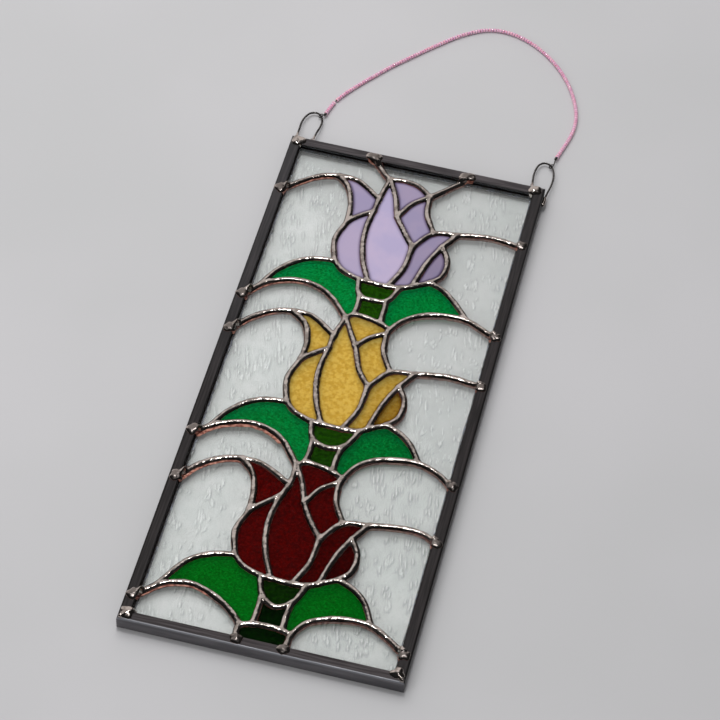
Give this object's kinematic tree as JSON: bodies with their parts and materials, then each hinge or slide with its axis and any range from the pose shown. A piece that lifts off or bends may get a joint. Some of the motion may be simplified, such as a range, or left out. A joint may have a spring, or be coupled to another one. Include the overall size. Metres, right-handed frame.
{
  "type": "stained glass window panel",
  "caption": "Tall stained glass panel with stylised tulips on clear glass, in a metal channel frame, with wire loops and a bead strand to hang it.",
  "frame": {"origin": "on the surface that the panel lies on, under the middle of the panel with its two wire loops", "axes": "+X across the panel, +Y up the picture towards the hanging loops, +Z out of the panel's face"},
  "size_m": [0.1592, 0.4837, 0.0102],
  "materials": {
    "zinc": "zinc with a dark patina, satin, a little streaked",
    "solder": "tin solder, bright and uneven, with copper foil at its edges",
    "clear_glass": "clear rain-textured glass",
    "lilac_glass": "milky lilac glass, smooth",
    "amber_glass": "hammered amber glass",
    "red_glass": "dark red glass with a fine texture",
    "leaf_glass": "green glass with a fine texture",
    "deep_leaf_glass": "green glass with a fine texture, a little yellower",
    "stem_glass": "dark green glass",
    "wire": "dull tinned wire",
    "pink_beads": "glossy pink glass beads on a thin wire"
  },
  "bodies": {
    "root": {"zinc_bar_bottom": "zinc", "zinc_bar_left": "zinc", "zinc_bar_right": "zinc", "zinc_bar_top": "zinc", "solder_net": "solder", "lilac_petal_curl": "lilac_glass", "lilac_petal_heart": "lilac_glass", "lilac_petal_left": "lilac_glass", "lilac_petal_left_tip": "lilac_glass", "lilac_petal_little": "lilac_glass", "lilac_petal_right": "lilac_glass", "lilac_petal_right_top": "lilac_glass", "amber_petal_curl": "amber_glass", "amber_petal_heart": "amber_glass", "amber_petal_left": "amber_glass", "amber_petal_left_tip": "amber_glass", "amber_petal_little": "amber_glass", "amber_petal_right": "amber_glass", "amber_petal_right_top": "amber_glass", "red_petal_curl": "red_glass", "red_petal_heart": "red_glass", "red_petal_left": "red_glass", "red_petal_left_tip": "red_glass", "red_petal_little": "red_glass", "red_petal_right": "red_glass", "red_petal_right_top": "red_glass", "upper_calyx": "stem_glass", "upper_clear_crescent": "clear_glass", "upper_clear_left": "clear_glass", "upper_clear_right": "clear_glass", "upper_clear_side": "clear_glass", "upper_leaf_left": "leaf_glass", "upper_leaf_right": "leaf_glass", "upper_stem": "stem_glass", "middle_calyx": "stem_glass", "middle_clear_crescent": "clear_glass", "middle_clear_left": "clear_glass", "middle_clear_right": "clear_glass", "middle_clear_side": "clear_glass", "middle_leaf_left": "leaf_glass", "middle_leaf_right": "leaf_glass", "middle_stem": "stem_glass", "lower_calyx": "stem_glass", "lower_clear_crescent": "clear_glass", "lower_clear_left": "clear_glass", "lower_clear_right": "clear_glass", "lower_clear_side": "clear_glass", "lower_leaf_left": "deep_leaf_glass", "lower_leaf_right": "deep_leaf_glass", "lower_stem": "stem_glass", "foot_piece": "stem_glass", "bottom_clear_right": "clear_glass", "top_clear_left": "clear_glass", "top_clear_middle": "clear_glass", "wire_loop_left": "wire", "wire_loop_right": "wire", "bead_strand": "pink_beads", "strand_wire_left": "wire", "strand_wire_right": "wire"}
  },
  "joints": []
}
